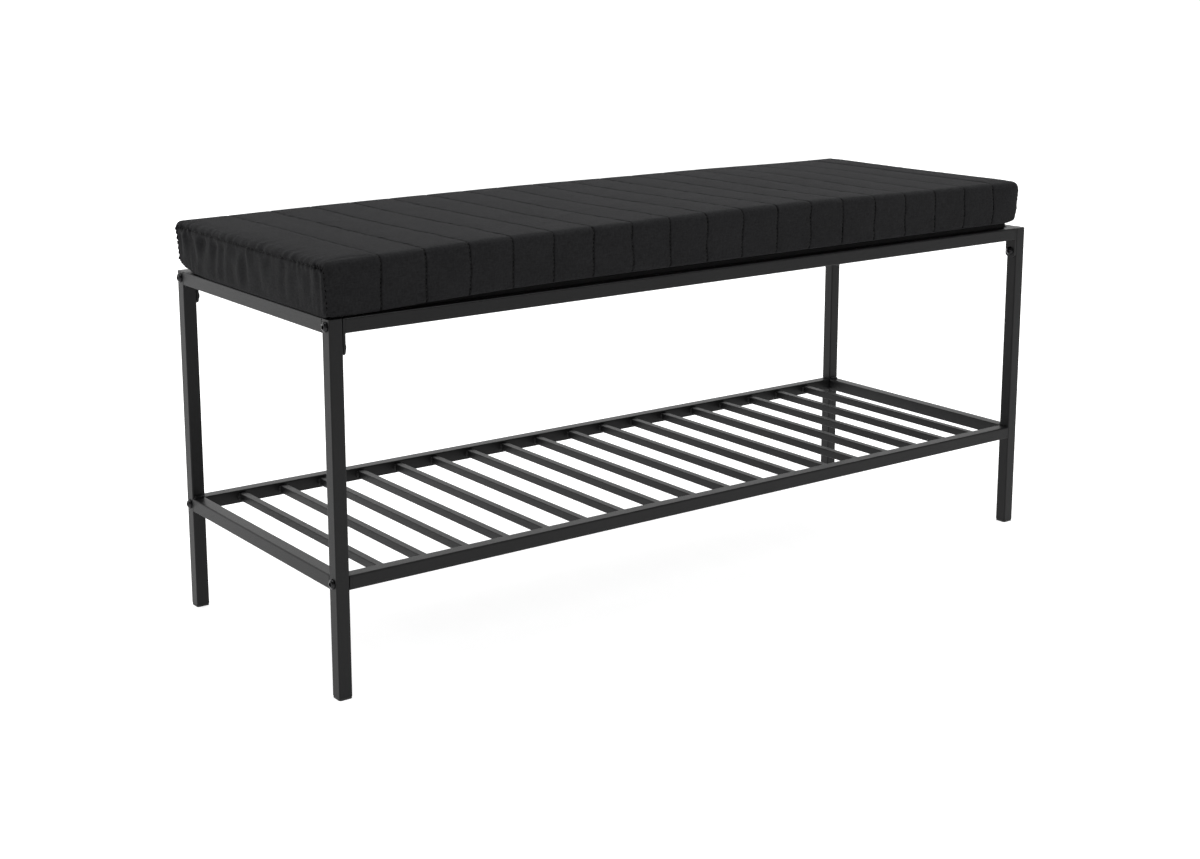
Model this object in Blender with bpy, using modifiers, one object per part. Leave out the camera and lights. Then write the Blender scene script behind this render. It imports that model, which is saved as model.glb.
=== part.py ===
"""Entryway bench: a bolted frame of square steel tube with a slatted shelf, a seat board and a cushion.

Metres, +Z up. The origin is on the floor at the middle of the bench. The bench is long along X, and
its front faces -Y.
"""

from math import cos, pi, radians, sin

import bmesh
import bpy
from mathutils import Matrix, Vector

# Overall sizes of the frame, over the legs' outer faces
BENCH_LENGTH = 1.000
BENCH_DEPTH = 0.350
FRAME_HEIGHT = 0.390
SHELF_HEIGHT = 0.129

# Square tube of the legs and rails
TUBE = 0.015
TUBE_WALL = 0.0012
TUBE_ROUNDING = 0.0014

# Square tube of the slats, set at the middle of the shelf rails' height
SLAT = 0.009
SLAT_WALL = 0.0009
SLAT_ROUNDING = 0.0009
SLAT_COUNT = 18

# Plates that close the long rails' ends, and their tabs below the seat rails
PLATE = 0.0025
TAB_DROP = 0.022
TAB_SCREW_DROP = 0.0145

# M6 button-head screws with a hexagon socket
SHANK_RADIUS = 0.003
HEAD_RADIUS = 0.00525
HEAD_HEIGHT = 0.0033
HEAD_RIM = 0.0006
SOCKET_WIDTH = 0.004
SOCKET_DEPTH = 0.0021
SHANK_CHAMFER = 0.0006
SHANK_END = 0.0015

# Hexagon weld nuts inside the legs
NUT_WIDTH = 0.010
NUT_THICKNESS = 0.005

# Plastic caps in the legs' open ends
CAP_FLANGE = 0.002
CAP_ROUNDING = 0.0025
CAP_PLUG = 0.010

# Seat board on the seat rails, and the cushion on it
BOARD_THICKNESS = 0.006
BOARD_INSET = 0.009
BOARD_END_INSET = 0.020
BOARD_ROUNDING = 0.001
CUSHION_THICKNESS = 0.054
CUSHION_END_INSET = 0.0075
CUSHION_FACE_INSET = 0.002
CUSHION_ROUNDING = 0.012
SEAT_SHIFT = -0.007

# Gap left between two surfaces that touch
GAP = 0.0003

# Places that follow from the sizes
TUBE_INSIDE = TUBE - 2 * TUBE_WALL
LEG_X = (BENCH_LENGTH - TUBE) / 2
LEG_Y = (BENCH_DEPTH - TUBE) / 2
SEAT_RAIL_Z = FRAME_HEIGHT - TUBE / 2
SHELF_RAIL_Z = SHELF_HEIGHT - TUBE / 2
TAB_SCREW_Z = FRAME_HEIGHT - TUBE - TAB_SCREW_DROP
INNER_LENGTH = BENCH_LENGTH - 2 * TUBE
INNER_DEPTH = BENCH_DEPTH - 2 * TUBE
PLATE_X = INNER_LENGTH / 2 - GAP - PLATE / 2
LONG_RAIL_LENGTH = INNER_LENGTH - 2 * (PLATE + 2 * GAP)
SLAT_SPACING = (INNER_LENGTH + SLAT) / (SLAT_COUNT + 1)
HOLE_RADIUS = SHANK_RADIUS + GAP
RAIL_SCREW_LENGTH = TUBE + PLATE + 2 * GAP + SHANK_END
TAB_SCREW_LENGTH = PLATE + TUBE_WALL + NUT_THICKNESS + 3 * GAP + SHANK_END
BOARD_LENGTH = BENCH_LENGTH - 2 * BOARD_END_INSET
BOARD_DEPTH = BENCH_DEPTH - 2 * BOARD_INSET
BOARD_Z = FRAME_HEIGHT + GAP + BOARD_THICKNESS / 2
CUSHION_LENGTH = BENCH_LENGTH - 2 * CUSHION_END_INSET
CUSHION_DEPTH = BENCH_DEPTH - 2 * CUSHION_FACE_INSET
CUSHION_Z = BOARD_Z + BOARD_THICKNESS / 2 + GAP + CUSHION_THICKNESS / 2

SIDES = {"left": -1, "right": 1}
FACES = {"front": -1, "back": 1}
ALONG_X = Matrix.Rotation(pi / 2, 4, "Y")
ALONG_Y = Matrix.Rotation(pi / 2, 4, "X")
FLATS_UPRIGHT = Matrix.Rotation(pi / 2, 4, "Z")


def clear_scene():
    for old in list(bpy.data.objects):
        bpy.data.objects.remove(old)


def collection(name):
    made = bpy.data.collections.new(name)
    bpy.context.scene.collection.children.link(made)
    return made


def material(name, colour, roughness, metallic):
    made = bpy.data.materials.new(name)
    made.use_nodes = True
    shader = made.node_tree.nodes["Principled BSDF"]
    shader.inputs["Base Color"].default_value = (*colour, 1.0)
    shader.inputs["Roughness"].default_value = roughness
    shader.inputs["Metallic"].default_value = metallic
    return made


def mesh_of(shape, name):
    """The bmesh as a mesh, shaded smooth up to its sharp edges."""
    mesh = bpy.data.meshes.new(name)
    shape.to_mesh(mesh)
    shape.free()
    mesh.shade_smooth()
    mesh.set_sharp_from_angle(angle=radians(40))
    return mesh


def round_edges(shape, edges, rounding, segments):
    bmesh.ops.bevel(shape, geom=edges, offset=rounding, segments=segments, profile=0.5, affect="EDGES")


def bar_mesh(name, width, depth, length, rounding=0.0, segments=3):
    """A rectangular bar along Z, centred on the origin, with its long edges rounded."""
    shape = bmesh.new()
    bmesh.ops.create_cube(shape, size=1.0)
    bmesh.ops.scale(shape, vec=(width, depth, length), verts=shape.verts)
    if rounding:
        long_edges = [edge for edge in shape.edges if edge.verts[0].co.z * edge.verts[1].co.z < 0]
        round_edges(shape, long_edges, rounding, segments)
    return mesh_of(shape, name)


def block_mesh(name, size, rounding, segments):
    """A box centred on the origin, with all its edges rounded."""
    shape = bmesh.new()
    bmesh.ops.create_cube(shape, size=1.0)
    bmesh.ops.scale(shape, vec=size, verts=shape.verts)
    round_edges(shape, shape.edges[:], rounding, segments)
    return mesh_of(shape, name)


def rod_mesh(name, radius, length, sides):
    """A rod along Z, centred on the origin."""
    shape = bmesh.new()
    bmesh.ops.create_cone(
        shape, cap_ends=True, segments=sides, radius1=radius, radius2=radius, depth=length
    )
    return mesh_of(shape, name)


def workpiece(mesh, place=Matrix()):
    """An object for a Boolean, in the collection of cutters and drawn as a wire."""
    made = bpy.data.objects.new(mesh.name, mesh)
    made.matrix_world = place
    made.hide_render = True
    made.display_type = "WIRE"
    cutters.objects.link(made)
    return made


def combined(name, blank, operation, tools):
    """The mesh of a blank cut by the tools, or joined to them. The blank and the tools are used up."""
    for tool in tools:
        step = blank.modifiers.new(operation.lower(), "BOOLEAN")
        step.operation = operation
        step.solver = "EXACT"
        step.object = tool
    evaluated = blank.evaluated_get(bpy.context.evaluated_depsgraph_get())
    mesh = bpy.data.meshes.new_from_object(evaluated)
    mesh.name = name
    mesh.transform(blank.matrix_world)
    for used in (blank, *tools):
        bpy.data.objects.remove(used)
    return mesh


def tube_mesh(name, size, wall, rounding, length):
    """A square tube along Z, open at both ends."""
    inside = size - 2 * wall
    bore = workpiece(bar_mesh("bore", inside, inside, length + 2 * wall, max(rounding - wall, 0.0)))
    return combined(name, workpiece(bar_mesh("tube", size, size, length, rounding)), "DIFFERENCE", [bore])


def place(name, mesh, finish, at, turn=Matrix()):
    """A part of the bench, in its own named object."""
    part = bpy.data.objects.new(name, mesh)
    if not mesh.materials:
        mesh.materials.append(finish)
    part.matrix_world = Matrix.Translation(Vector(at)) @ turn
    bench.objects.link(part)
    return part


def corners():
    """Each corner of the bench, as its name and the signs of its X and Y."""
    for side, sign_x in SIDES.items():
        for face, sign_y in FACES.items():
            yield f"{side}_{face}", sign_x, sign_y


def leg_mesh():
    """A leg with its inner side at +X: a tube closed at the top, with the holes for its three screws."""
    base = CAP_FLANGE + GAP
    length = FRAME_HEIGHT - base
    blank = workpiece(
        bar_mesh("leg", TUBE, TUBE, length, TUBE_ROUNDING), Matrix.Translation((0, 0, base + length / 2))
    )
    bore_top = FRAME_HEIGHT - TUBE_WALL
    bore = workpiece(
        bar_mesh("bore", TUBE_INSIDE, TUBE_INSIDE, bore_top), Matrix.Translation((0, 0, bore_top / 2))
    )
    rail_holes = [
        workpiece(rod_mesh("hole", HOLE_RADIUS, 2 * TUBE, 16), Matrix.Translation((0, 0, height)) @ ALONG_X)
        for height in (SEAT_RAIL_Z, SHELF_RAIL_Z)
    ]
    tab_hole = workpiece(
        rod_mesh("hole", HOLE_RADIUS, TUBE, 16), Matrix.Translation((TUBE / 2, 0, TAB_SCREW_Z)) @ ALONG_X
    )
    return combined("leg", blank, "DIFFERENCE", [bore, *rail_holes, tab_hole])


def make_legs():
    mesh = leg_mesh()
    for corner, sign_x, sign_y in corners():
        turn = Matrix.Rotation(0.0 if sign_x < 0 else pi, 4, "Z")
        place(f"{corner}_leg", mesh, coated_steel, (sign_x * LEG_X, sign_y * LEG_Y, 0.0), turn)


def make_side_rails():
    mesh = tube_mesh("side_rail", TUBE, TUBE_WALL, TUBE_ROUNDING, INNER_DEPTH - 2 * GAP)
    for side, sign_x in SIDES.items():
        place(f"{side}_top_side_rail", mesh, coated_steel, (sign_x * LEG_X, 0.0, SEAT_RAIL_Z), ALONG_Y)
        place(f"{side}_lower_side_rail", mesh, coated_steel, (sign_x * LEG_X, 0.0, SHELF_RAIL_Z), ALONG_Y)


def make_long_rails():
    mesh = tube_mesh("long_rail", TUBE, TUBE_WALL, TUBE_ROUNDING, LONG_RAIL_LENGTH)
    for face, sign_y in FACES.items():
        place(f"{face}_seat_rail", mesh, coated_steel, (0.0, sign_y * LEG_Y, SEAT_RAIL_Z), ALONG_X)
        place(f"{face}_shelf_rail", mesh, coated_steel, (0.0, sign_y * LEG_Y, SHELF_RAIL_Z), ALONG_X)


def shelf_plate_mesh():
    """A plate along X that closes a shelf rail's end, with the hole for its screw."""
    blank = workpiece(bar_mesh("plate", TUBE, TUBE, PLATE, TUBE_ROUNDING), ALONG_X)
    hole = workpiece(rod_mesh("hole", HOLE_RADIUS, TUBE, 16), ALONG_X)
    return combined("shelf_end_plate", blank, "DIFFERENCE", [hole])


def tab_plate_outline():
    """The tab plate's corners in its own plane, with round lower corners, as points of Y and Z."""
    half = TUBE / 2
    lower = -half - TAB_DROP
    radius = 0.6 * half
    outline = [(half, half), (-half, half)]
    for centre_y, start in ((radius - half, pi), (half - radius, 1.5 * pi)):
        for step in range(6):
            angle = start + step * pi / 10
            outline.append((centre_y + radius * cos(angle), lower + radius + radius * sin(angle)))
    return outline


def tab_plate_mesh():
    """The plate on a seat rail's end, with its tab below the rail and holes for two screws."""
    shape = bmesh.new()
    rim = [shape.verts.new((-PLATE / 2, y, z)) for y, z in tab_plate_outline()]
    sheet = shape.faces.new(rim)
    swept = bmesh.ops.extrude_face_region(shape, geom=[sheet])
    moved = [item for item in swept["geom"] if isinstance(item, bmesh.types.BMVert)]
    bmesh.ops.translate(shape, vec=(PLATE, 0.0, 0.0), verts=moved)
    bmesh.ops.recalc_face_normals(shape, faces=shape.faces)
    blank = workpiece(mesh_of(shape, "plate"))
    holes = [
        workpiece(rod_mesh("hole", HOLE_RADIUS, TUBE, 16), Matrix.Translation((0, 0, height)) @ ALONG_X)
        for height in (0.0, TAB_SCREW_Z - SEAT_RAIL_Z)
    ]
    return combined("tab_plate", blank, "DIFFERENCE", holes)


def make_end_plates():
    tab_plate = tab_plate_mesh()
    shelf_plate = shelf_plate_mesh()
    for corner, sign_x, sign_y in corners():
        at = Vector((sign_x * PLATE_X, sign_y * LEG_Y, SEAT_RAIL_Z))
        place(f"{corner}_tab_plate", tab_plate, coated_steel, at)
        at.z = SHELF_RAIL_Z
        place(f"{corner}_shelf_end_plate", shelf_plate, coated_steel, at)


def make_slats():
    mesh = tube_mesh("slat", SLAT, SLAT_WALL, SLAT_ROUNDING, INNER_DEPTH - 2 * GAP)
    for number in range(SLAT_COUNT):
        x = (number - (SLAT_COUNT - 1) / 2) * SLAT_SPACING
        place(f"shelf_slat_{number + 1:02d}", mesh, coated_steel, (x, 0.0, SHELF_RAIL_Z), ALONG_Y)


def screw_mesh(name, length):
    """A screw along Z with its head above the origin's plane, turned from its profile."""
    dome = HEAD_HEIGHT - HEAD_RIM
    angles = [step * pi / 8 for step in range(5)]
    profile = [(HEAD_RADIUS * sin(angle), HEAD_RIM + dome * cos(angle)) for angle in angles]
    profile += [
        (HEAD_RADIUS, 0.0),
        (SHANK_RADIUS, 0.0),
        (SHANK_RADIUS, SHANK_CHAMFER - length),
        (SHANK_RADIUS - SHANK_CHAMFER, -length),
        (0.0, -length),
    ]
    outline = bpy.data.meshes.new("profile")
    runs = [(i, i + 1) for i in range(len(profile) - 1)]
    outline.from_pydata([(x, 0.0, z) for x, z in profile], runs, [])
    blank = workpiece(outline)
    turned = blank.modifiers.new("turn", "SCREW")
    turned.steps = 20
    turned.render_steps = 20
    turned.use_merge_vertices = True
    turned.merge_threshold = 0.00001
    socket_radius = SOCKET_WIDTH / 2 / cos(pi / 6)
    socket = workpiece(
        rod_mesh("socket", socket_radius, 2 * SOCKET_DEPTH, 6), Matrix.Translation((0, 0, HEAD_HEIGHT))
    )
    mesh = combined(name, blank, "DIFFERENCE", [socket])
    mesh.shade_smooth()
    mesh.set_sharp_from_angle(angle=radians(40))
    return mesh


def make_screws():
    """Two screws through each leg into the long rails, and one through each tab into the leg."""
    rail_screw = screw_mesh("rail_screw", RAIL_SCREW_LENGTH)
    tab_screw = screw_mesh("tab_screw", TAB_SCREW_LENGTH)
    for corner, sign_x, sign_y in corners():
        outward = Matrix.Rotation(sign_x * pi / 2, 4, "Y")
        inward = Matrix.Rotation(-sign_x * pi / 2, 4, "Y")
        outer_face = sign_x * (BENCH_LENGTH / 2 + GAP)
        tab_face = sign_x * (PLATE_X - PLATE / 2 - GAP)
        y = sign_y * LEG_Y
        place(f"{corner}_seat_screw", rail_screw, zinc_black, (outer_face, y, SEAT_RAIL_Z), outward)
        place(f"{corner}_shelf_screw", rail_screw, zinc_black, (outer_face, y, SHELF_RAIL_Z), outward)
        place(f"{corner}_tab_screw", tab_screw, zinc_black, (tab_face, y, TAB_SCREW_Z), inward)


def make_weld_nuts():
    """A hexagon nut on the inner wall of each leg, behind its tab screw, with two flats upright."""
    corner_radius = NUT_WIDTH / 2 / cos(pi / 6)
    blank = workpiece(rod_mesh("nut", corner_radius, NUT_THICKNESS, 6), ALONG_X @ FLATS_UPRIGHT)
    hole = workpiece(rod_mesh("hole", HOLE_RADIUS, 2 * NUT_THICKNESS, 16), ALONG_X)
    mesh = combined("weld_nut", blank, "DIFFERENCE", [hole])
    wall_face = INNER_LENGTH / 2 + TUBE_WALL
    for corner, sign_x, sign_y in corners():
        x = sign_x * (wall_face + GAP + NUT_THICKNESS / 2)
        place(f"{corner}_weld_nut", mesh, zinc_black, (x, sign_y * LEG_Y, TAB_SCREW_Z))


def make_foot_caps():
    """A cap under each leg: a flange that carries the leg, and a plug inside the tube."""
    plug_size = TUBE_INSIDE - 2 * GAP
    plug_length = CAP_PLUG + CAP_FLANGE / 2
    flange_centre = Matrix.Translation((0, 0, CAP_FLANGE / 2))
    plug_centre = Matrix.Translation((0, 0, (CAP_FLANGE + plug_length) / 2))
    flange = workpiece(bar_mesh("flange", TUBE, TUBE, CAP_FLANGE, CAP_ROUNDING, 4), flange_centre)
    plug = workpiece(bar_mesh("plug", plug_size, plug_size, plug_length), plug_centre)
    mesh = combined("foot_cap", flange, "UNION", [plug])
    for corner, sign_x, sign_y in corners():
        place(f"{corner}_foot_cap", mesh, black_plastic, (sign_x * LEG_X, sign_y * LEG_Y, 0.0))


def make_seat():
    board = block_mesh("seat_board", (BOARD_LENGTH, BOARD_DEPTH, BOARD_THICKNESS), BOARD_ROUNDING, 2)
    place("seat_board", board, painted_board, (SEAT_SHIFT, 0.0, BOARD_Z))
    cushion_size = (CUSHION_LENGTH, CUSHION_DEPTH, CUSHION_THICKNESS)
    cushion = block_mesh("cushion", cushion_size, CUSHION_ROUNDING, 3)
    place("cushion", cushion, black_fabric, (SEAT_SHIFT, 0.0, CUSHION_Z))


clear_scene()
bench = collection("entryway_bench")
cutters = collection("cutters")
coated_steel = material("coated_steel", (0.028, 0.028, 0.030), 0.45, 0.0)
zinc_black = material("zinc_black", (0.020, 0.020, 0.021), 0.35, 0.6)
black_plastic = material("black_plastic", (0.018, 0.018, 0.018), 0.55, 0.0)
painted_board = material("painted_board", (0.015, 0.015, 0.015), 0.7, 0.0)
black_fabric = material("black_fabric", (0.022, 0.022, 0.024), 0.95, 0.0)
make_legs()
make_side_rails()
make_long_rails()
make_end_plates()
make_slats()
make_screws()
make_weld_nuts()
make_foot_caps()
make_seat()
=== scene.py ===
"""The looks of an entryway bench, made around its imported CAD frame.

The coated steel frame keeps its CAD solids and gains weld beads. The cushion is a quilted cover,
puffed up by a cloth simulation between its seams, with stitches along them.
"""

from math import cos, pi, radians, sin

import bpy
import numpy as np
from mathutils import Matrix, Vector


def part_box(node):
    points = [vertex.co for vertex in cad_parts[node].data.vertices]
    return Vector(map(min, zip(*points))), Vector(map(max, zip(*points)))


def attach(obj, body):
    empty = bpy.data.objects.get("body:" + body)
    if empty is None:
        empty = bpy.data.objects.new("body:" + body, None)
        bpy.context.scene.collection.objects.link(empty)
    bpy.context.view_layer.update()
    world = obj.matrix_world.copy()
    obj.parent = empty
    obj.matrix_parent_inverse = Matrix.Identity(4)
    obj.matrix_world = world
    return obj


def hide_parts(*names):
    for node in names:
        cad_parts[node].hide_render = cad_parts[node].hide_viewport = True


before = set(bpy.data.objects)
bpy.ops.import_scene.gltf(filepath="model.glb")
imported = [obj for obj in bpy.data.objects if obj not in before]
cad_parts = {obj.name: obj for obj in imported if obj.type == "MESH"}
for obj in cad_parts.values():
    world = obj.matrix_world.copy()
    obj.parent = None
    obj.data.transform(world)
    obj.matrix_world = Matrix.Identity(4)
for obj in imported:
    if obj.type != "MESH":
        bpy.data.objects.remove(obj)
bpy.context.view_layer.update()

# Camera, at the photograph's place
CAMERA_PLACE = (-1.3370, -1.7415, 0.7492)
CAMERA_TURN = (radians(90 - 11.21), 0.0, -0.6382)
LENS = 55.9
SENSOR = 36.0
SHIFT_DOWN = -0.10

# White of the studio, as the camera sees it and as it lights the bench
SEEN_WHITE = 1.0
LIGHTING_WHITE = 0.24

# Glow of the floor, which rises with distance from the bench as the lights' own light falls
NEAR_GLOW = 0.80
FAR_GLOW = 1.0
GLOW_START = 1.6
GLOW_END = 4.5
FLOOR_RADIUS = 30.0

# Lattice of the cushion's cover, and how far two coordinates on it may differ and still be the same
SEAM_COUNT = 18
SEAM_PITCH = 0.0518
CHANNEL_CELLS = 12
LAST_CHANNEL_CELLS = 10
HEIGHT_CELLS = 24
ROLL_CELLS = 5
SEAM_CLUSTER = 0.80
CELL = 0.005
FOLD_CLUSTER = 0.45
SAME = 1e-6

# The cushion's shape before it is puffed: folds, crown, hanging hem and leaning ends
END_ROLL = 0.007
CORNER_PULL = 0.003
FOLD_RADIUS = 0.0075
HEM_RADIUS = 0.0065
CROWN_PLACE = 0.04
CROWN_FRONT = 0.0028
CROWN_FRONT_FALL = 0.0233
CROWN_BACK = -0.0006
CROWN_BACK_FALL = 0.009
HANG_WIDTH = 0.0065
HANG_LEFT = 0.0056
HANG_HOLD = 0.02
HANG_REACH = 0.30
HANG_REST = 0.0004
CORNER_DROOP = 0.0017
DROOP_START = 0.38
DROOP_END = 0.47
CORNER_ROUND = 0.0062
ROUND_SHARE = 0.26
ROUND_START = 0.130
BACK_LIFT = 0.35
BACK_LIFT_START = 0.08
BACK_LIFT_END = 0.16
RIGHT_LIFT = 0.0022
LIFT_REACH = 0.014
LEAN_LEFT = 0.0035
LEAN_RIGHT = 0.0040
TUCK_RIGHT = 0.0022
TUCK_SHARE = 0.24
LEAN_REACH = 0.035

# Puffing of the cushion's cover
SIM_FRAMES = 20
MOST_MOVE = 0.0014
BACK_FOLD_REACH = 0.025
BACK_FOLD_HOLD = 0.65
TOP_SLACK = 0.006
END_SLACK = 0.02
PUFF_PRESSURE = 4.0

# Quilting seams
CREASE_WIDTH = 0.0009
CREASE_DEPTH = 0.0006
VALLEY_WIDTH = 0.005
VALLEY_DEPTH = 0.0003
PUCKER_LENGTH = 0.011
PUCKER_DEPTH = 0.00020
PUCKER_SEED = 5
SEAM_SPREAD = 1.7
SIDE_SPREAD = 0.02
SEAM_FADE = 0.7
FADE_START = 0.15
FADE_END = 0.44
# painted shade: how much the seam creases darken the fabric's colour
SEAM_SHADE = 0.55
SEAM_WANDER = 0.0005
WANDER_LENGTH = 0.04
WANDER_WIDTH = 0.012
WANDER_START = 0.02
WANDER_SEED = 13

# Seams round the end panels, and the panels' folds
END_CREASE_DEPTH = 0.0016
END_VALLEY_WIDTH = 0.008
END_VALLEY_DEPTH = 0.0003
END_PUCKER_LENGTH = 0.010
END_PUCKER_DEPTH = 0.00055
END_PUCKER_SEED = 9
END_SPREAD = 3.1
PANEL_SPREAD = 0.3
FOLD_LENGTH = 0.022
FOLD_DEPTH = 0.0015
FOLD_SEED = 21
FOLD_START = 0.012
FOLD_LEAN = 0.25
LOW_FOLD_SHARE = 0.35
FRONT_FOLD_SHARE = 0.45
DEEPER_START = -0.12
DEEPER_END = 0.05
TWIST_LENGTH = 0.0062
TWIST_SWAY = 0.0014
TWIST_WIDTH = 0.0035
TWIST_DEPTH = 0.0007
TOP_SEAM_SHARE = 0.45
RIGHT_SEAM_SHARE = 0.4
END_CREASE_WIDTH = 0.0017
# width of the painted shadow line along the end panel seams
END_SHADE_WIDTH = 0.0011
UPRIGHT_REACH = 0.02
TOP_SWAY_SHARE = 0.35
TOP_TWIST_SHARE = 0.4
HEM_CLEAR = 0.009

# Slow drift of the whole surface, and slanting wrinkles on the top: middle x and y, turn, length
DRIFT_DEPTH = 0.0004
DRIFT_LENGTH = 0.22
DRIFT_SEED = 31
WRINKLES = [
    (-0.215, -0.120, 0.42, 0.030),
    (-0.170, -0.088, 0.50, 0.034),
    (-0.120, -0.060, 0.46, 0.036),
    (-0.060, -0.045, 0.40, 0.028),
    (0.235, 0.040, 0.55, 0.026),
    (-0.385, 0.055, -0.35, 0.030),
]
WRINKLE_WIDTH = 0.0045
WRINKLE_HEIGHT = 0.00035
WRINKLE_BOW = 0.0015
WRINKLE_WAVES = 5
TOP_START = 0.43
TOP_END = 0.447

# Welds of the frame
RAIL_GAP = 0.0003
WELD_ROOT = 0.0004
RING_STEPS = 72
RING_SIDES = 8
RING_SQUARE = 12
RING_THICKNESS = 0.0011
GROUND_WIDTH = 0.0016
PLATE_RING_WIDTH = 0.0007
FILLET_STEPS = 22
POOL_LENGTH = 0.0016
CORNER_CLEAR = 0.0012
FRAME_FILLET = 0.0034
PLATE_FILLET = 0.0018
SLAT_FILLET = 0.0019
LEFT_BEAD_SHARE = 1.25
RIGHT_BEAD_SHARE = 0.9
RING_WOBBLE = 0.05
RING_WAVES = 23
POOL_SHARE = 0.12
POOL_CHANCE = 0.03
BEAD_END_SHARE = 0.08
BEAD_END_SQUARE = 6
BEAD_ARC_POINTS = 5
BEAD_HOLLOW = 1.25

# Weave of the fabric, and thread of the seams
THREADS_PER_METRE = 1250.0
STITCH_PITCH = 0.0042
STITCH_LENGTH = 0.0028
STITCH_RADIUS = 0.00038
STITCH_LIFT = 0.00005
STITCH_START = 0.004
STITCH_SIDES = 5
UNDERSIDE = 4


# ---------------------------------------------------------------- stage


def make_camera():
    data = bpy.data.cameras.new("camera")
    data.sensor_width = SENSOR
    data.lens = LENS
    data.shift_y = SHIFT_DOWN
    camera = bpy.data.objects.new("camera", data)
    camera.location = CAMERA_PLACE
    camera.rotation_euler = CAMERA_TURN
    bpy.context.scene.collection.objects.link(camera)
    bpy.context.scene.camera = camera


def make_world():
    world = bpy.data.worlds.new("studio")
    world.use_nodes = True
    bpy.context.scene.world = world
    nodes, links = world.node_tree.nodes, world.node_tree.links
    nodes.clear()
    seen = nodes.new("ShaderNodeBackground")
    seen.inputs["Color"].default_value = (1.0, 1.0, 1.0, 1.0)
    seen.inputs["Strength"].default_value = SEEN_WHITE
    lighting = nodes.new("ShaderNodeBackground")
    lighting.inputs["Color"].default_value = (1.0, 1.0, 1.0, 1.0)
    lighting.inputs["Strength"].default_value = LIGHTING_WHITE
    path = nodes.new("ShaderNodeLightPath")
    mix = nodes.new("ShaderNodeMixShader")
    output = nodes.new("ShaderNodeOutputWorld")
    links.new(path.outputs["Is Camera Ray"], mix.inputs[0])
    links.new(lighting.outputs[0], mix.inputs[1])
    links.new(seen.outputs[0], mix.inputs[2])
    links.new(mix.outputs[0], output.inputs[0])


def make_light(name, place, aim, width, height, power):
    data = bpy.data.lights.new(name, "AREA")
    data.shape = "RECTANGLE"
    data.size = width
    data.size_y = height
    data.energy = power
    light = bpy.data.objects.new(name, data)
    light.location = place
    light.visible_camera = False
    light.rotation_euler = (Vector(aim) - Vector(place)).to_track_quat("-Z", "Y").to_euler()
    bpy.context.scene.collection.objects.link(light)


def make_lights():
    make_light("left", (-2.4, 1.9, 1.0), (-0.5, 0.0, 0.25), 1.2, 1.2, 14)
    make_light("overhead", (0.3, 0.2, 2.6), (0.2, 0.0, 0.2), 3.0, 2.4, 76)
    make_light("right", (2.9, 0.5, 1.1), (0.5, 0.0, 0.3), 1.4, 1.2, 14)
    make_light("backdrop", (1.15, 3.0, 1.25), (1.15, 0.0, 1.25), 6.7, 2.5, 66)


def make_floor():
    bpy.ops.mesh.primitive_circle_add(vertices=96, radius=FLOOR_RADIUS, fill_type="NGON")
    floor = bpy.context.object
    floor.name = "floor"
    material = bpy.data.materials.new("pale_floor")
    material.use_nodes = True
    shader = material.node_tree.nodes["Principled BSDF"]
    shader.inputs["Base Color"].default_value = (0.6, 0.6, 0.6, 1.0)
    shader.inputs["Roughness"].default_value = 0.9
    shader.inputs["Specular IOR Level"].default_value = 0.0
    shader.inputs["Emission Color"].default_value = (1.0, 1.0, 1.0, 1.0)
    nodes, links = material.node_tree.nodes, material.node_tree.links
    place = nodes.new("ShaderNodeTexCoord")
    distance = nodes.new("ShaderNodeVectorMath")
    distance.operation = "LENGTH"
    glow = nodes.new("ShaderNodeMapRange")
    glow.inputs["From Min"].default_value = GLOW_START
    glow.inputs["From Max"].default_value = GLOW_END
    glow.inputs["To Min"].default_value = NEAR_GLOW
    glow.inputs["To Max"].default_value = FAR_GLOW
    links.new(place.outputs["Object"], distance.inputs[0])
    links.new(distance.outputs["Value"], glow.inputs["Value"])
    links.new(glow.outputs[0], shader.inputs["Emission Strength"])
    floor.data.materials.append(material)


# ---------------------------------------------------------------- materials


class Graph:
    """A material under construction: its node tree, its Principled shader and short calls for nodes."""

    def __init__(self, name, **constants):
        self.material = bpy.data.materials.new(name)
        self.material.use_nodes = True
        self.tree = self.material.node_tree
        self.shader = self.tree.nodes["Principled BSDF"]
        for socket, value in constants.items():
            self.shader.inputs[socket.replace("_", " ")].default_value = value

    def node(self, kind, inputs, output=0, **settings):
        made = self.tree.nodes.new("ShaderNode" + kind)
        for name, value in settings.items():
            setattr(made, name, value)
        for socket, value in inputs.items():
            if isinstance(value, bpy.types.NodeSocket):
                self.tree.links.new(value, made.inputs[socket])
            else:
                made.inputs[socket].default_value = value
        return made.outputs[output]

    def places(self):
        return self.node("TexCoord", {}, "Object")

    def stretched(self, vector, scale):
        return self.node("Mapping", {"Vector": vector, "Scale": scale})

    def noise(self, vector, scale, detail=2.0, roughness=0.5):
        inputs = {"Vector": vector, "Scale": scale, "Detail": detail, "Roughness": roughness}
        return self.node("TexNoise", inputs, "Fac")

    def math(self, operation, a, b=0.0):
        return self.node("Math", {0: a, 1: b}, operation=operation)

    def between(self, value, low, high, start=0.0, end=1.0):
        inputs = {"Value": value, "From Min": start, "From Max": end, "To Min": low, "To Max": high}
        return self.node("MapRange", inputs)

    def blend(self, factor, dark, light):
        ramp = self.tree.nodes.new("ShaderNodeValToRGB")
        ramp.color_ramp.elements[0].color = (*dark, 1.0)
        ramp.color_ramp.elements[1].color = (*light, 1.0)
        self.tree.links.new(factor, ramp.inputs[0])
        return ramp.outputs[0]

    def bump(self, height, distance, strength=1.0, below=None):
        inputs = {"Height": height, "Distance": distance, "Strength": strength}
        if below is not None:
            inputs["Normal"] = below
        return self.node("Bump", inputs)

    def finish(self, **linked):
        for socket, source in linked.items():
            self.tree.links.new(source, self.shader.inputs[socket.replace("_", " ")])
        return self.material


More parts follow.
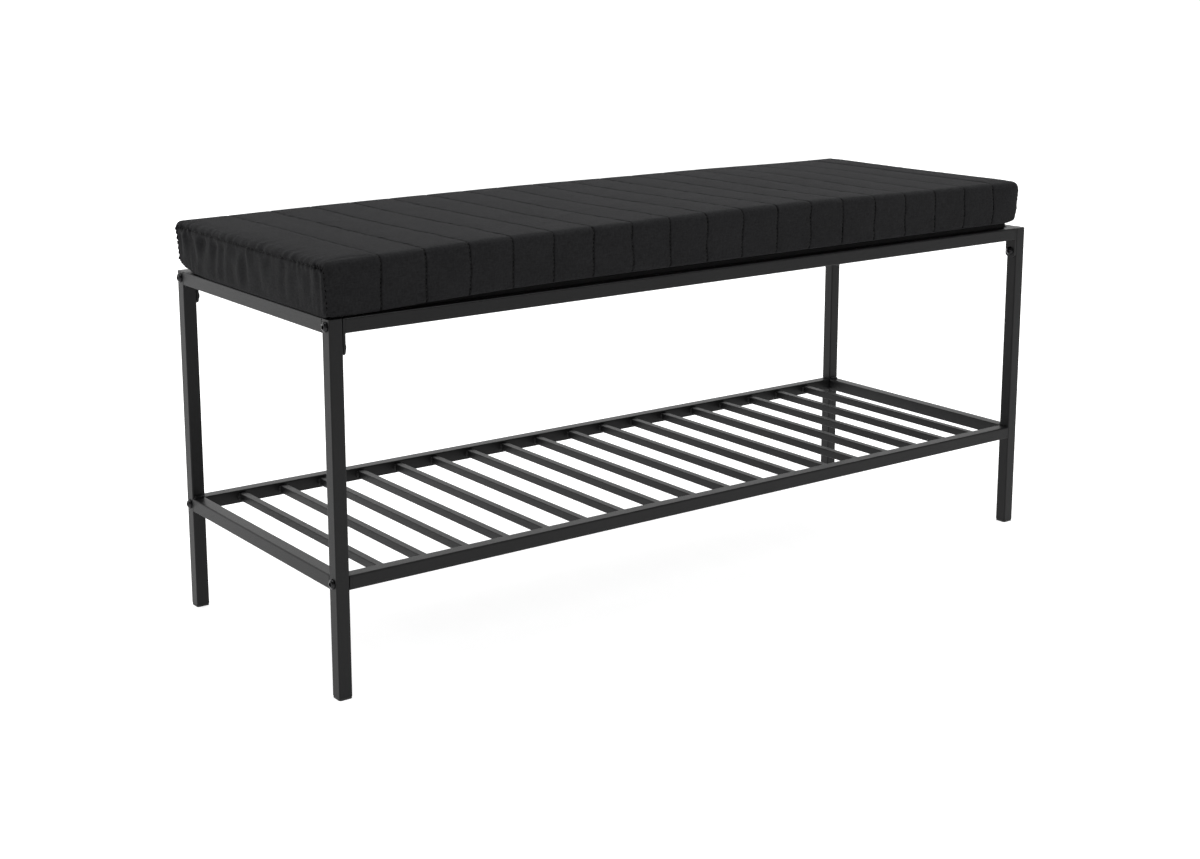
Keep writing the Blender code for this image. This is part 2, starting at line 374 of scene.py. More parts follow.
def coated_steel():
    g = Graph("coated_steel", Specular_IOR_Level=0.19)
    place = g.places()
    cloud = g.noise(place, 9.0, 4.0)
    peel = g.noise(place, 900.0, 2.0)
    grit = g.noise(place, 2600.0, 1.0)
    return g.finish(
        Base_Color=g.blend(cloud, (0.0060, 0.0060, 0.0063), (0.0095, 0.0095, 0.0100)),
        Roughness=g.between(peel, 0.36, 0.48, 0.3, 0.7),
        Normal=g.bump(grit, 0.00008, 0.35, g.bump(peel, 0.0002, 0.35)),
    )


def black_screws():
    g = Graph("black_screws", Metallic=0.75, Specular_IOR_Level=0.5)
    place = g.places()
    cloud = g.noise(place, 300.0, 3.0)
    scratches = g.noise(g.stretched(place, (900.0, 900.0, 120.0)), 3.0, 2.0)
    return g.finish(
        Base_Color=g.blend(cloud, (0.010, 0.010, 0.011), (0.021, 0.021, 0.022)),
        Roughness=g.between(cloud, 0.14, 0.24, 0.3, 0.7),
        Normal=g.bump(scratches, 0.00005, 0.4),
    )


def black_plastic():
    g = Graph("black_plastic", Specular_IOR_Level=0.4)
    place = g.places()
    cloud = g.noise(place, 60.0, 2.0)
    grain = g.node("TexVoronoi", {"Vector": place, "Scale": 1800.0}, "Distance")
    return g.finish(
        Base_Color=g.blend(cloud, (0.010, 0.010, 0.010), (0.016, 0.016, 0.016)),
        Roughness=g.between(cloud, 0.50, 0.62),
        Normal=g.bump(grain, 0.0001, 0.4),
    )


def painted_board():
    g = Graph("painted_board", Specular_IOR_Level=0.15)
    place = g.places()
    fibre = g.noise(g.stretched(place, (40.0, 700.0, 700.0)), 1.0, 3.0)
    speckle = g.noise(place, 1400.0, 2.0)
    return g.finish(
        Base_Color=g.blend(fibre, (0.003, 0.003, 0.003), (0.007, 0.007, 0.007)),
        Roughness=g.between(speckle, 0.70, 0.85),
        Normal=g.bump(speckle, 0.00012, 0.5, g.bump(fibre, 0.00015, 0.4)),
    )


def plain_weave(g, u, v):
    """Height of a plain weave, where the threads along u and along v pass over each other in turn."""

    def threads(across, along, phase):
        row = g.math("FLOOR", across)
        swing = g.math("COSINE", g.math("MULTIPLY", g.math("ADD", g.math("ADD", along, row), phase), pi))
        rise = g.math("MULTIPLY_ADD", swing, 0.5)
        rise.node.inputs[2].default_value = 0.5
        crown = g.math("ABSOLUTE", g.math("SINE", g.math("MULTIPLY", across, pi)))
        return g.math("MULTIPLY", crown, rise)

    return g.math("MAXIMUM", threads(u, v, 0.0), threads(v, u, 1.0))


def black_fabric():
    """Fabric with its weave along the cover's UV map, and painted shade along the seams: darker where the
    crease attribute says so.
    """
    g = Graph("black_fabric", Specular_IOR_Level=0.02, Sheen_Weight=0.045, Sheen_Roughness=0.45)
    flat = g.node("UVMap", {}, uv_map="weave")
    parts = g.tree.nodes.new("ShaderNodeSeparateXYZ")
    g.tree.links.new(flat, parts.inputs[0])
    u = g.math("MULTIPLY", parts.outputs[0], THREADS_PER_METRE)
    v = g.math("MULTIPLY", parts.outputs[1], THREADS_PER_METRE)
    weave = plain_weave(g, u, v)
    slub_u = g.noise(g.stretched(flat, (110.0, 900.0, 1.0)), 1.0, 2.0)
    slub_v = g.noise(g.stretched(flat, (900.0, 110.0, 1.0)), 1.0, 2.0)
    slubs = g.math("MULTIPLY", g.math("ADD", slub_u, slub_v), 0.5)
    mottle = g.noise(g.places(), 420.0, 2.0, 0.6)
    cloud = g.noise(g.places(), 26.0, 4.0, 0.6)
    tone = g.math("ADD", g.math("MULTIPLY", slubs, 0.45), g.math("MULTIPLY", mottle, 0.35))
    tone = g.math("ADD", tone, g.math("MULTIPLY", cloud, 0.2))
    crease = g.node("Attribute", {}, "Fac", attribute_name="crease")
    # painted shade: the crease attribute darkens the fabric's colour along the seams
    lit = g.math("SUBTRACT", g.between(tone, 0.14, 1.0, 0.20, 0.80), crease)
    height = g.math("ADD", g.math("MULTIPLY", weave, 0.5), g.math("ADD", slubs, mottle))
    return g.finish(
        Base_Color=g.blend(lit, (0.0016, 0.0016, 0.0017), (0.0300, 0.0300, 0.0315)),
        Roughness=g.between(weave, 0.95, 0.82),
        Normal=g.bump(height, 0.0005, 0.6),
    )


def black_thread():
    g = Graph("black_thread", Specular_IOR_Level=0.25)
    place = g.places()
    twist = g.noise(place, 2200.0, 2.0)
    return g.finish(
        Base_Color=g.blend(twist, (0.002, 0.002, 0.002), (0.007, 0.007, 0.0075)),
        Roughness=g.between(twist, 0.55, 0.8),
        Normal=g.bump(twist, 0.0001, 0.5),
    )


def dress(thing, material):
    """Gives every face of a piece or CAD node one material."""
    slots = thing.material_slots
    if not slots:
        thing.data.materials.append(material)
    for place in thing.material_slots:
        place.material = material


# ---------------------------------------------------------------- cushion


def clustered(start, end, cells, low_cluster, high_cluster):
    """Stations from start to end, packed closer at either end by its cluster share."""
    t = np.linspace(0.0, 1.0, cells + 1)
    if low_cluster and high_cluster:
        t = t - low_cluster * np.sin(2 * pi * t) / (2 * pi)
    elif low_cluster:
        t = t - low_cluster * np.sin(pi * t) / pi
    elif high_cluster:
        t = t + high_cluster * np.sin(pi * t) / pi
    return start + (end - start) * t


class Cover:
    """The cushion's cover as a lattice of quads over a box: six sides that share their edge points."""

    def __init__(self):
        low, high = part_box("cushion")
        self.low, self.high = np.array(low), np.array(high)
        self.seams = (np.arange(SEAM_COUNT) - (SEAM_COUNT - 1) / 2) * SEAM_PITCH
        self.make_stations()
        self.make_lattice()

    def make_stations(self):
        core_low, core_high = self.low[0] + END_ROLL, self.high[0] - END_ROLL
        runs = [clustered(core_low, self.seams[0], CHANNEL_CELLS, 0, SEAM_CLUSTER)]
        for left, right in zip(self.seams, self.seams[1:]):
            runs.append(clustered(left, right, CHANNEL_CELLS, SEAM_CLUSTER, SEAM_CLUSTER)[1:])
        runs.append(clustered(self.seams[-1], core_high, LAST_CHANNEL_CELLS, SEAM_CLUSTER, 0)[1:])
        core = np.concatenate(runs)
        turn = np.linspace(0.0, pi / 2, ROLL_CELLS + 1)[1:]
        rolled = END_ROLL * np.sin(turn)
        self.x = np.concatenate([core_low - rolled[::-1], core, core_high + rolled])
        self.roll = np.concatenate([1 - np.cos(turn[::-1]), np.zeros(len(core)), 1 - np.cos(turn)])
        cells = round((self.high[1] - self.low[1]) / CELL)
        self.y = clustered(self.low[1], self.high[1], cells, FOLD_CLUSTER, FOLD_CLUSTER)
        self.z = np.linspace(self.low[2], self.high[2], HEIGHT_CELLS + 1)

    def make_lattice(self):
        sizes = len(self.x), len(self.y), len(self.z)
        grid = np.stack(np.meshgrid(*[np.arange(n) for n in sizes], indexing="ij"), -1)
        edge = ((grid == 0) | (grid == np.array(sizes) - 1)).any(-1)
        self.index = np.full(sizes, -1)
        self.index[edge] = np.arange(edge.sum())
        self.cells = grid[edge]
        faces, sides = [], []
        for axis in range(3):
            for side in (0, -1):
                sheet = np.take(self.index, side, axis)
                corners = [sheet[:-1, :-1], sheet[1:, :-1], sheet[1:, 1:], sheet[:-1, 1:]]
                quads = np.stack(corners, -1).reshape(-1, 4)
                outward = (side == -1) != (axis == 1)
                faces.append(quads if outward else quads[:, ::-1])
                sides.append(np.full(len(quads), 2 * axis - side))
        self.faces = np.concatenate(faces)
        self.face_sides = np.concatenate(sides)

    def box_points(self):
        i, j, k = self.cells.T
        return np.stack([self.x[i], self.y[j], self.z[k]], -1)


def smooth(value, low, high):
    """0 below low, 1 above high, and a smooth rise between."""
    t = np.clip((value - low) / (high - low), 0.0, 1.0)
    return t * t * (3 - 2 * t)


def ripples(points, length, seed, waves=16):
    """Smooth noise about 1 high at each point, made of plane waves about that long."""
    chance = np.random.default_rng(seed)
    directions = chance.normal(size=(waves, points.shape[1]))
    directions /= np.linalg.norm(directions, axis=1, keepdims=True)
    directions *= 2 * pi / (length * chance.uniform(0.7, 1.5, (waves, 1)))
    phases = chance.uniform(0, 2 * pi, waves)
    return np.sin(points @ directions.T + phases).sum(1) / np.sqrt(waves / 2)


def top_crown(x, back_share):
    """How far the top stands above the CAD solid's top. It is highest near the middle of the front edge."""
    from_peak = (x - CROWN_PLACE) ** 2
    front = CROWN_FRONT - CROWN_FRONT_FALL * from_peak
    back = CROWN_BACK - CROWN_BACK_FALL * from_peak
    return front + (back - front) * back_share


def shaped(cover):
    """The cover's points before it is puffed: rounded along its folds, rolled over at its ends."""
    x, y, z = cover.box_points().T
    flat_y = y
    roll = cover.roll[cover.cells[:, 0]]
    low, high = cover.low, cover.high
    middle, half = (high[1] + low[1]) / 2, (high[1] - low[1]) / 2
    radius = np.where(z > (low[2] + high[2]) / 2, FOLD_RADIUS, HEM_RADIUS)
    core_y = np.clip(y, middle - half + radius, middle + half - radius)
    core_z = np.clip(z, low[2] + HEM_RADIUS, high[2] - FOLD_RADIUS)
    out_y, out_z = y - core_y, z - core_z
    shrink = np.maximum(abs(out_y), abs(out_z)) / np.maximum(np.hypot(out_y, out_z), 1e-9)
    y = core_y + out_y * shrink
    z = core_z + out_z * shrink
    top = high[2] + top_crown(x, (y - low[1]) / (2 * half)) - END_ROLL * roll
    # the hem hangs down past the board, most of all at the front left, and stands clear at the right end
    over_face = smooth(abs(flat_y), half - HANG_WIDTH, half)
    over_end = smooth(-x, -low[0] - HANG_WIDTH, -low[0])
    overhang = np.maximum(over_face, over_end)
    droop = CORNER_DROOP * over_face * (1 - over_end) * smooth(-x, DROOP_START, DROOP_END) * (flat_y < 0)
    hang = HANG_LEFT * (1 - smooth(x, low[0] + HANG_HOLD, low[0] + HANG_REACH)) + HANG_REST
    hang = hang * (1 - BACK_LIFT * smooth(flat_y, BACK_LIFT_START, BACK_LIFT_END))
    lift = RIGHT_LIFT * smooth(x, high[0] - LIFT_REACH, high[0])
    bottom = low[2] + lift - hang * overhang - droop
    share = (z - low[2]) / (high[2] - low[2])
    z = bottom + share * (top - bottom)
    y = middle + (y - middle) * (half - CORNER_PULL * roll) / half
    # both ends lean out toward the top; the left one's rear corner is rounded under, the right one tucked in
    near_left = smooth(-x, -low[0] - LEAN_REACH, -low[0])
    rounding = np.clip(1 - share / ROUND_SHARE, 0.0, 1.0) ** 2 * smooth(flat_y, ROUND_START, high[1])
    rounding *= near_left
    y = y - CORNER_ROUND / 2 * rounding
    x = x - LEAN_LEFT * share * near_left + CORNER_ROUND * rounding
    tuck = TUCK_RIGHT * (1 - smooth(share, 0.0, TUCK_SHARE))
    x = x + (LEAN_RIGHT * share - tuck) * smooth(x, high[0] - LEAN_REACH, high[0])
    return np.stack([x, y, z], -1)


def make_mesh(name, points, faces):
    mesh = bpy.data.meshes.new(name)
    mesh.from_pydata(points.tolist(), [], faces.tolist())
    mesh.update()
    piece = bpy.data.objects.new(name, mesh)
    bpy.context.scene.collection.objects.link(piece)
    return piece


def points_of(mesh):
    flat = np.empty(len(mesh.vertices) * 3)
    mesh.vertices.foreach_get("co", flat)
    return flat.reshape(-1, 3)


def normals_of(mesh):
    flat = np.empty(len(mesh.vertices) * 3)
    mesh.vertices.foreach_get("normal", flat)
    return flat.reshape(-1, 3)


def held_points(cover):
    """The lattice points on the quilting seams, the end seams and the underside."""
    i, j, k = cover.cells.T
    last = np.array([len(cover.x), len(cover.y), len(cover.z)]) - 1
    at_end = (i == 0) | (i == last[0])
    at_face = (j == 0) | (j == last[1])
    at_top = k == last[2]
    at_bottom = k == 0
    quilted = np.abs(cover.x[i][:, None] - cover.seams[None, :]).min(1) < SAME
    return at_bottom | (quilted & ~at_end) | (at_end & (at_face | at_top))


def puffed(cover, start):
    """The cover's points once a cloth simulation has puffed it between its seams, with its underside flat."""
    blown = cover.faces[cover.face_sides != UNDERSIDE]
    used, faces = np.unique(blown, return_inverse=True)
    piece = make_mesh("puffing", start[used], faces.reshape(-1, 4))
    held = piece.vertex_groups.new(name="held")
    held.add(np.flatnonzero(held_points(cover)[used]).tolist(), 1.0, "REPLACE")
    piece.shape_key_add(name="sewn")
    cut = piece.shape_key_add(name="cut")
    slack = start * np.array([1.0, 1.0 + TOP_SLACK, 1.0])
    ends = (cover.cells[:, 0] == 0) | (cover.cells[:, 0] == len(cover.x) - 1)
    slack[ends, 1] = start[ends, 1] * (1.0 + END_SLACK)
    cut.data.foreach_set("co", slack[used].ravel())
    cloth = piece.modifiers.new("puff", "CLOTH")
    fabric = cloth.settings
    fabric.quality = 4
    fabric.mass = 0.3
    fabric.tension_stiffness = 30
    fabric.compression_stiffness = 30
    fabric.shear_stiffness = 5
    fabric.bending_stiffness = 0.2
    fabric.use_pressure = True
    fabric.uniform_pressure_force = PUFF_PRESSURE
    fabric.vertex_group_mass = "held"
    fabric.rest_shape_key = cut
    fabric.effector_weights.gravity = 0
    cloth.collision_settings.use_collision = False
    for number in range(1, SIM_FRAMES + 1):
        bpy.context.scene.frame_set(number)
    move = points_of(piece.evaluated_get(bpy.context.evaluated_depsgraph_get()).data) - start[used]
    bpy.context.scene.frame_set(1)
    outward = normals_of(piece.data)
    bpy.data.objects.remove(piece)
    # the filling stops the cover from sinking in, and the cover's strength limits how far it swells
    rise = (move * outward).sum(1, keepdims=True)
    move += outward * (np.maximum(rise, 0.0) - rise)
    to_fold = np.hypot(start[used, 1] - cover.high[1], start[used, 2] - cover.high[2])
    move *= 1 - BACK_FOLD_HOLD * np.exp(-((to_fold / BACK_FOLD_REACH) ** 2))[:, None]
    length = np.linalg.norm(move, axis=1, keepdims=True)
    result = start.copy()
    result[used] += move * MOST_MOVE * np.tanh(length / MOST_MOVE) / np.maximum(length, 1e-9)
    return result


def refined(piece):
    """The piece's mesh after one subdivision, as a mesh of its own."""
    level = piece.modifiers.new("refine", "SUBSURF")
    level.levels = level.render_levels = 1
    level.boundary_smooth = "PRESERVE_CORNERS"
    seen = piece.evaluated_get(bpy.context.evaluated_depsgraph_get())
    mesh = bpy.data.meshes.new_from_object(seen)
    piece.modifiers.remove(level)
    return mesh


def numbers_of(mesh, name, width):
    data = np.empty(len(mesh.vertices) * width, np.float32)
    mesh.attributes[name].data.foreach_get("vector" if width == 3 else "value", data)
    return data.reshape(-1, width).astype(float)


class FlatPlaces:
    """Where each point of the refined cover lies on the unpuffed box, and how far it is from the seams."""

    def __init__(self, cover, mesh):
        self.flat = numbers_of(mesh, "flat", 3)
        self.x, self.y, self.z = self.flat.T
        self.low, self.high = cover.low, cover.high
        self.at_end = self.on(0, self.low) | self.on(0, self.high)
        self.at_top = self.on(2, self.high)
        self.below = self.on(2, self.low)
        self.around = self.round_the_cover()
        self.to_end = self.end_seam_distance()
        gaps = self.x[:, None] - cover.seams[None, :]
        self.seam = np.abs(gaps).argmin(1)
        self.off_seam = np.take_along_axis(gaps, self.seam[:, None], 1)[:, 0]

    def on(self, axis, side):
        return np.isclose(self.flat[:, axis], side[axis], atol=SAME)

    def round_the_cover(self):
        """Distance round the cover from the front hem, over the top, to the back hem."""
        height, depth = self.high[2] - self.low[2], self.high[1] - self.low[1]
        rise = self.z - self.low[2]
        over = height + self.y - self.low[1]
        fall = height + depth + height - rise
        return np.where(self.on(1, self.low), rise, np.where(self.on(1, self.high), fall, over))

    def end_seam_distance(self):
        """Distance over the cloth to the seam round the nearer end panel."""
        low, high = self.low, self.high
        inward = np.minimum(self.x - low[0], high[0] - self.x)
        over_roll = END_ROLL * np.arccos(np.clip(1 - inward / END_ROLL, -1, 1))
        on_cover = np.where(inward < END_ROLL, over_roll, inward + END_ROLL * (pi / 2 - 1))
        to_sides = [self.y - low[1], high[1] - self.y, high[2] - self.z, self.z - low[2]]
        return np.where(self.at_end, np.minimum.reduce(to_sides), on_cover)


def wrinkles(points):
    """Height of the faint slanting wrinkles that pull across the top."""
    rise = np.zeros(len(points))
    for x, y, turn, length in WRINKLES:
        east, north = points[:, 0] - x, points[:, 1] - y
        along = east * cos(turn) + north * sin(turn)
        bow = WRINKLE_BOW * np.sin(along / length * WRINKLE_WAVES)
        across = north * cos(turn) - east * sin(turn) - bow
        rise += np.exp(-((along / length) ** 2) - (across / WRINKLE_WIDTH) ** 2)
    return WRINKLE_HEIGHT * rise * smooth(points[:, 2], TOP_START, TOP_END)


def bell(distance, width):
    return np.exp(-((distance / width) ** 2))


def quilting(at):
    """How deep the quilting seams and their puckers press in, and the sharp crease in their middle, which
    also sets their painted shade.
    """
    wrap = (~at.at_end & ~at.below).astype(float)
    wrap *= 1 - SEAM_FADE * smooth(at.x, FADE_START, FADE_END) * at.at_top
    place = np.stack([at.around, at.seam * SEAM_SPREAD + SIDE_SPREAD * np.sign(at.off_seam)], -1)
    pucker = ripples(place, PUCKER_LENGTH, PUCKER_SEED)
    crease = bell(at.off_seam, CREASE_WIDTH) * wrap
    valley = np.exp(-np.abs(at.off_seam) / VALLEY_WIDTH) * wrap
    to_back_fold = np.hypot(at.y - at.high[1], at.z - at.high[2])
    valley *= 1 - BACK_FOLD_HOLD * bell(to_back_fold, BACK_FOLD_REACH)
    return CREASE_DEPTH * crease + valley * (VALLEY_DEPTH + PUCKER_DEPTH * pucker), crease


def end_seams(at):
    """How deep the seams round the end panels press in, and their thin line of painted shadow. They twist
    like a cord.
    """
    upright = np.minimum(at.y - at.low[1], at.high[1] - at.y) < UPRIGHT_REACH
    from_hem = smooth(at.z, at.low[2], at.low[2] + HEM_CLEAR)
    looser = np.where(at.x > 0, RIGHT_SEAM_SHARE, 1.0)
    turn = np.sin(2 * pi * at.around / TWIST_LENGTH)
    side = np.where(at.at_end, 1.0, -1.0)
    sway = TWIST_SWAY * turn * np.where(upright, 1.0, TOP_SWAY_SHARE)
    across = at.to_end * side - sway
    share = from_hem * np.where(upright, 1.0, TOP_SEAM_SHARE)
    crease = bell(across, END_CREASE_WIDTH) * share * looser
    valley = np.exp(-at.to_end / END_VALLEY_WIDTH) * ~at.below * from_hem
    place = np.stack([at.around + PANEL_SPREAD * at.at_end, END_SPREAD * np.sign(at.x)], -1)
    pucker = ripples(place, END_PUCKER_LENGTH, END_PUCKER_SEED)
    twist = turn * side * from_hem * bell(at.to_end, TWIST_WIDTH) * np.where(upright, 1.0, TOP_TWIST_SHARE)
    sink = END_CREASE_DEPTH * crease + valley * (END_VALLEY_DEPTH + END_PUCKER_DEPTH * pucker * looser)
    # the second value is painted shadow along the seam, which darkens the fabric's colour
    return sink + TWIST_DEPTH * twist * looser, bell(across, END_SHADE_WIDTH) * share


def end_folds(at):
    """How deep the upright folds of the end panels are. They are deepest at the top and toward the back."""
    place = np.stack([at.y, FOLD_LEAN * at.z], -1)
    height = smooth(at.z, at.low[2], at.high[2])
    folds = ripples(place, FOLD_LENGTH, FOLD_SEED) * (LOW_FOLD_SHARE + (1 - LOW_FOLD_SHARE) * height)
    back = FRONT_FOLD_SHARE + (1 - FRONT_FOLD_SHARE) * smooth(at.y, DEEPER_START, DEEPER_END)
    return at.at_end * smooth(at.to_end, 0.0, FOLD_START) * FOLD_DEPTH * folds * back


def wandering(at):
    """How far the quilting seams stray sideways, with the cloth beside them."""
    place = np.stack([at.around, at.seam * SEAM_SPREAD], -1)
    near = bell(at.off_seam, WANDER_WIDTH) * (~at.at_end & ~at.below) * smooth(at.to_end, 0.0, WANDER_START)
    return SEAM_WANDER * ripples(place, WANDER_LENGTH, WANDER_SEED) * near


def sewn(at, mesh):
    """The puffed cover's points with seams, puckers, folds and wrinkles, and the painted shade of the seams
    at each of them.
    """
    points = points_of(mesh)
    seam_sink, crease = quilting(at)
    end_sink, end_seam_shade = end_seams(at)
    drift = DRIFT_DEPTH * ripples(points, DRIFT_LENGTH, DRIFT_SEED)
    sink = seam_sink + end_sink + end_folds(at) + ~at.below * (drift - wrinkles(points))
    points -= normals_of(mesh) * sink[:, None]
    points[:, 0] += wandering(at)
    # painted shade of the quilting seams and painted shadow line of the end seams, for the fabric's colour
    return points, np.maximum(SEAM_SHADE * crease, end_seam_shade)


def joined(name, parts):
    """One piece from many closed shells, each a pair of points and faces."""
    shells, faces, count = [], [], 0
    for points, quads in parts:
        shells.append(points)
        faces += [[corner + count for corner in face] for face in quads]
        count += len(points)
    mesh = bpy.data.meshes.new(name)
    mesh.from_pydata(np.concatenate(shells).tolist(), [], faces)
    mesh.update()
    mesh.shade_smooth()
    piece = bpy.data.objects.new(name, mesh)
    bpy.context.scene.collection.objects.link(piece)
    return piece


def tube_faces(rings, sides):
    """Quads between rings of points, and a cap on the first and the last ring."""
    faces = []
    for ring in range(rings - 1):
        for side in range(sides):
            a, b = ring * sides + side, ring * sides + (side + 1) % sides
            faces.append([a, b, b + sides, a + sides])
    last = (rings - 1) * sides
    return faces + [list(range(sides))[::-1], [last + side for side in range(sides)]]


def seam_line(points, normals, order):
    """The points and normals along a seam, in order, evenly spaced a stitch apart."""
    line, up = points[order], normals[order]
    along = np.concatenate([[0.0], np.cumsum(np.linalg.norm(np.diff(line, axis=0), axis=1))])
    places = np.arange(STITCH_PITCH / 2, along[-1], STITCH_PITCH)

    def at(values, where):
        return np.stack([np.interp(where, along, values[:, k]) for k in range(3)], -1)

    ahead = at(line, places + STITCH_LENGTH / 2) - at(line, places - STITCH_LENGTH / 2)
    return at(line, places), ahead, at(up, places)


def stitch():
    """A short rod with rounded ends, along X."""
    angles = np.arange(STITCH_SIDES) * 2 * pi / STITCH_SIDES
    ring = np.stack([np.zeros(STITCH_SIDES), np.cos(angles), np.sin(angles)], -1)
    stations = np.array([-1.0, -0.8, 0.0, 0.8, 1.0])
    girth = np.array([0.35, 0.9, 1.0, 0.9, 0.35])
    points = ring[None] * girth[:, None, None] * STITCH_RADIUS
    points = points + stations[:, None, None] * np.array([STITCH_LENGTH / 2, 0.0, 0.0])
    return points.reshape(-1, 3), tube_faces(len(stations), STITCH_SIDES)


def make_thread(cover, at, mesh, points):
    """Thread along every seam: stitches that lie in the creases."""
    normals = normals_of(mesh)
    above_hem = at.z > at.low[2] + STITCH_START
    rim = at.on(1, at.low) | at.on(1, at.high) | at.at_top
    lines = [np.abs(at.x - seam) < SAME for seam in cover.seams]
    lines += [rim & at.on(0, side) for side in (at.low, at.high)]
    template, faces = stitch()
    parts = []
    for line in lines:
        chosen = np.flatnonzero(line & above_hem)
        order = chosen[np.argsort(at.around[chosen])]
        for place, ahead, up in zip(*seam_line(points, normals, order)):
            ahead = ahead / np.linalg.norm(ahead)
            side = np.cross(up, ahead)
            side /= np.linalg.norm(side)
            axes = np.stack([ahead, side, np.cross(ahead, side)])
            parts.append((template @ axes + place + up * STITCH_LIFT, faces))
    thread = joined("quilting_thread", parts)
    dress(thread, black_thread())
    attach(thread, "seat_cushion")


def make_cushion():
    cover = Cover()
    start = shaped(cover)
    cushion = make_mesh("cushion_cover", start, cover.faces)
    mesh = cushion.data
    mesh.vertices.foreach_set("co", puffed(cover, start).ravel())
    mesh.update()
    mesh.attributes.new("flat", "FLOAT_VECTOR", "POINT")
    mesh.attributes["flat"].data.foreach_set("vector", cover.box_points().astype(np.float32).ravel())
    uv = mesh.uv_layers.new(name="weave")
    across = np.array([[1, 2], [0, 2], [0, 1]])[cover.face_sides // 2]
    corners = cover.box_points()[cover.faces]
    places = np.take_along_axis(corners, across[:, None, :].repeat(4, 1), 2)
    uv.data.foreach_set("uv", places.astype(np.float32).ravel())
    mesh.shade_smooth()
    cushion.data = mesh = refined(cushion)
    at = FlatPlaces(cover, mesh)
    points, crease = sewn(at, mesh)
    mesh.vertices.foreach_set("co", points.ravel())
    # the crease attribute carries the painted shade of the seams to the fabric's colour
    mesh.attributes.new("crease", "FLOAT", "POINT")
    mesh.attributes["crease"].data.foreach_set("value", crease.astype(np.float32))
    mesh.update()
    dress(cushion, black_fabric())
    make_thread(cover, at, mesh, points)
    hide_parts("cushion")
    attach(cushion, "seat_cushion")


# ---------------------------------------------------------------- welds


def ring_weld(centre, axis, half, width, seed):
    """A ground weld round the square end of a tube: a flattened ring that fills the notch at the joint."""
    turn = np.arange(RING_STEPS) * 2 * pi / RING_STEPS
    outward = np.stack([np.cos(turn), np.sin(turn)], -1)
    reach = 1 / (np.abs(outward) ** RING_SQUARE).sum(1) ** (1 / RING_SQUARE)
    wobble = 1 + RING_WOBBLE * np.sin(turn * RING_WAVES + seed)
    section = np.arange(RING_SIDES) * 2 * pi / RING_SIDES
    depth = half - RING_THICKNESS
    in_plane = outward[:, None] * (reach[:, None] * depth)[..., None]
    in_plane = in_plane + outward[:, None] * (RING_THICKNESS * np.cos(section) * wobble[:, None])[..., None]
    along = np.broadcast_to(width * np.sin(section), in_plane.shape[:2])
    points = np.zeros((RING_STEPS, RING_SIDES, 3))
    others = [k for k in range(3) if k != axis]
    points[..., others[0]] = in_plane[..., 0]
    points[..., others[1]] = in_plane[..., 1]
    points[..., axis] = along
    points = points.reshape(-1, 3) + np.array(centre)
    faces = []
    for step in range(RING_STEPS):
        for side in range(RING_SIDES):
            ahead, beside = (step + 1) % RING_STEPS, (side + 1) % RING_SIDES
            faces.append([step * RING_SIDES + side, ahead * RING_SIDES + side,
                          ahead * RING_SIDES + beside, step * RING_SIDES + beside])
    if axis == 1:
        faces = [face[::-1] for face in faces]
    return points, faces


def fillet_weld(start, end, side_a, side_b, size, seed):
    """A weld bead in the corner between two faces, from start to end, rippled as a run of small pools."""
    start, end, side_a, side_b = (np.array(v, float) for v in (start, end, side_a, side_b))
    chance = np.random.default_rng(seed)
    t = np.linspace(0.0, 1.0, FILLET_STEPS)
    pools = np.abs(np.sin(t * pi * np.linalg.norm(end - start) / POOL_LENGTH + chance.uniform(0, pi)))
    uneven = 1 - POOL_SHARE + POOL_SHARE * pools + chance.normal(0, POOL_CHANCE, len(t))
    swell = size * (1 - np.abs(2 * t - 1) ** BEAD_END_SQUARE) ** 0.5 * uneven
    swell = np.maximum(swell, BEAD_END_SHARE * size)
    section = np.linspace(0.0, pi / 2, BEAD_ARC_POINTS)
    arc_a, arc_b = np.cos(section) ** BEAD_HOLLOW, np.sin(section) ** BEAD_HOLLOW
    root = -WELD_ROOT * (side_a + side_b)
    rings = []
    for place, reach in zip(t, swell):
        at = start + (end - start) * place
        arc = at + reach * (arc_a[:, None] * side_a + arc_b[:, None] * side_b)
        skirt = [arc[-1] - WELD_ROOT * side_a, at + root, arc[0] - WELD_ROOT * side_b]
        rings.append(np.concatenate([arc, skirt]))
    faces = tube_faces(FILLET_STEPS, len(section) + 3)
    if np.dot(np.cross(side_a, side_b), end - start) < 0:
        faces = [face[::-1] for face in faces]
    return np.concatenate(rings), faces


def weld_piece(name, parts, steel):
    piece = joined(name, parts)
    dress(piece, steel)
    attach(piece, "bench_frame")


def make_end_frame_welds(steel):
    """Ground rings where the side rails meet the legs, and fillets in the corners above and below them."""
    parts = []
    for side in ("left", "right"):
        for level, fillet_rises in (("top", (-1,)), ("lower", (-1, 1))):
            low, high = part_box(f"{side}_{level}_side_rail")
            centre, half = (low + high) / 2, (high - low) / 2
            for face in (-1, 1):
                y = centre.y + face * (half.y + RAIL_GAP / 2)
                parts.append(ring_weld((centre.x, y, centre.z), 1, half.x, GROUND_WIDTH, len(parts)))
                for rise in fillet_rises:
                    z = centre.z + rise * half.z
                    ends = [(centre.x + sign * (half.x - CORNER_CLEAR), y, z) for sign in (-1, 1)]
                    parts.append(fillet_weld(*ends, (0, -face, 0), (0, 0, rise), FRAME_FILLET, len(parts)))
    weld_piece("end_frame_welds", parts, steel)


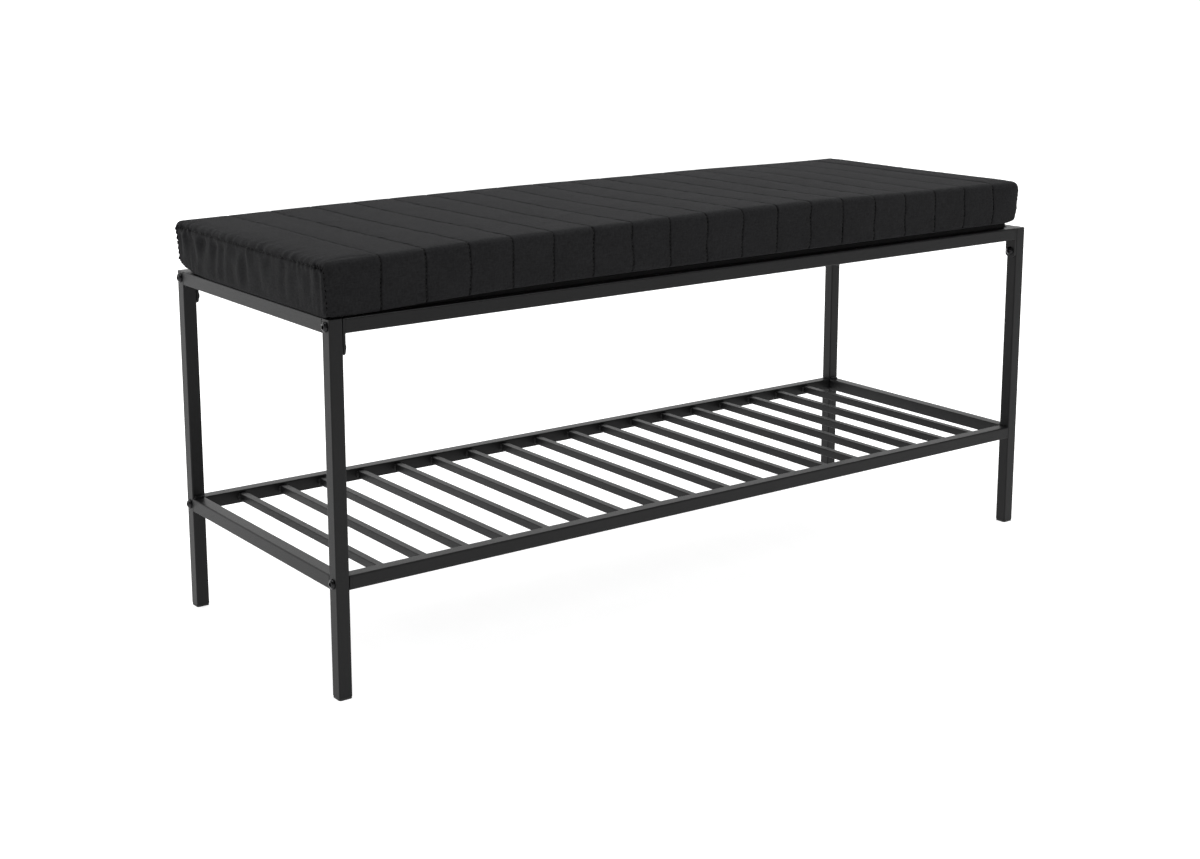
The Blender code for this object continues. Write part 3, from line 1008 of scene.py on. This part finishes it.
def make_plate_welds(steel):
    """Narrow rings where the long rails meet their end plates."""
    parts = []
    for face in ("front", "back"):
        for level in ("seat", "shelf"):
            low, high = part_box(f"{face}_{level}_rail")
            centre, half = (low + high) / 2, (high - low) / 2
            for sign in (-1, 1):
                x = centre.x + sign * (half.x + RAIL_GAP / 2)
                parts.append(ring_weld((x, centre.y, centre.z), 0, half.y, PLATE_RING_WIDTH, len(parts)))
                if level == "seat":
                    corner = centre.x + sign * half.x
                    reach = half.y - CORNER_CLEAR
                    ends = [(corner, centre.y + way * reach, low.z) for way in (-1, 1)]
                    parts.append(fillet_weld(*ends, (-sign, 0, 0), (0, 0, -1), PLATE_FILLET, len(parts)))
    weld_piece("rail_end_welds", parts, steel)


def make_slat_welds(steel):
    """Two short upright beads at each end of each slat."""
    parts = []
    slats = sorted(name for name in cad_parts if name.startswith("shelf_slat"))
    for name in slats:
        low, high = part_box(name)
        for face, y in ((-1, low.y - RAIL_GAP), (1, high.y + RAIL_GAP)):
            for side, x in ((-1, low.x), (1, high.x)):
                ends = [(x, y, low.z + CORNER_CLEAR / 2), (x, y, high.z - CORNER_CLEAR / 2)]
                size = SLAT_FILLET * (LEFT_BEAD_SHARE if side < 0 else RIGHT_BEAD_SHARE)
                parts.append(fillet_weld(*ends, (side, 0, 0), (0, -face, 0), size, len(parts)))
    weld_piece("slat_welds", parts, steel)


# ---------------------------------------------------------------- assembly


def dress_frame(steel):
    finishes = {
        "coated_steel": steel,
        "black_screws": black_screws(),
        "black_plastic": black_plastic(),
        "painted_board": painted_board(),
    }
    kinds = {
        "screw": "black_screws",
        "nut": "black_screws",
        "cap": "black_plastic",
        "board": "painted_board",
    }
    for name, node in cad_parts.items():
        kind = name.rsplit("_", 1)[-1]
        if name != "cushion":
            dress(node, finishes[kinds.get(kind, "coated_steel")])


bpy.context.scene.view_settings.view_transform = "Standard"
make_camera()
make_world()
make_lights()
make_floor()
steel = coated_steel()
dress_frame(steel)
make_end_frame_welds(steel)
make_plate_welds(steel)
make_slat_welds(steel)
make_cushion()
